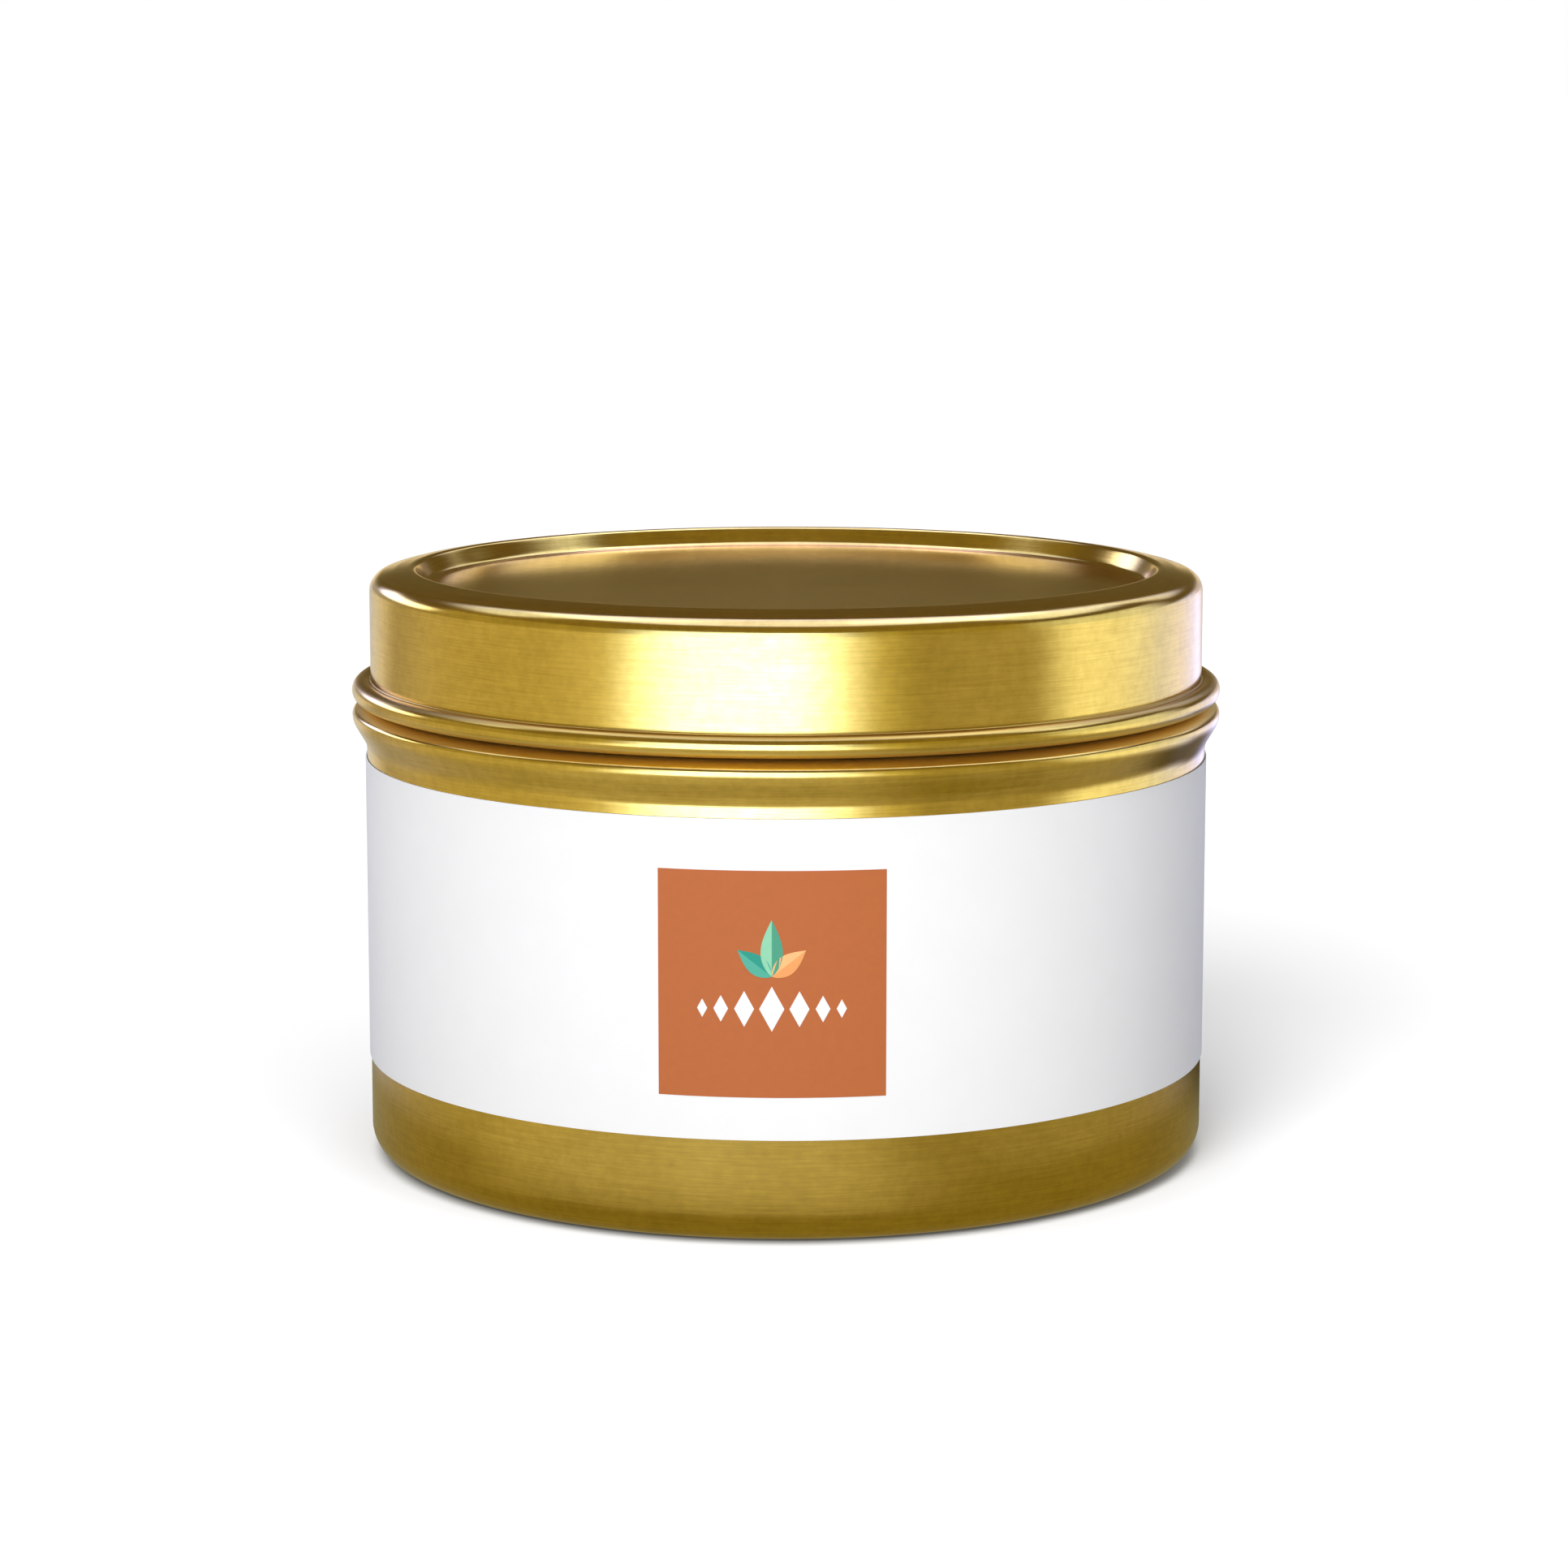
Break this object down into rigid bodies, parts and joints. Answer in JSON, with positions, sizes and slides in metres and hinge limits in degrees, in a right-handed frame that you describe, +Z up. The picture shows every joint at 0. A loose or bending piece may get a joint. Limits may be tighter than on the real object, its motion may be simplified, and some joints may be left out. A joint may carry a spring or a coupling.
{
  "type": "candle tin",
  "caption": "Round drawn tinplate candle tin with a slip-on recessed lid, a paper wrap label, and a poured wax candle with one braided wick inside.",
  "frame": {"origin": "centre of the ring the tin stands on", "axes": "+Z is up through the wick and the lid, -Y is the side of the wrap label that carries the print"},
  "size_m": [0.08, 0.08, 0.0543],
  "materials": {
    "gold_tinplate": "satin",
    "label_paper": "matte",
    "wax": "satin",
    "wick_cotton": "matte",
    "tab_steel": "satin",
    "pad_foam": "matte"
  },
  "bodies": {
    "tin": {"tin_body": "gold_tinplate", "wrap_label": "label_paper", "base_label": "label_paper", "wax_fill": "wax", "wick": "wick_cotton", "wick_tab": "tab_steel", "wick_pad": "pad_foam"},
    "lid": {"lid": "gold_tinplate"}
  },
  "joints": [
    {"name": "lid_lift", "type": "slide", "parent": "tin", "child": "lid", "axis": [0, 0, 1], "range_m": [0, 0.04]}
  ]
}
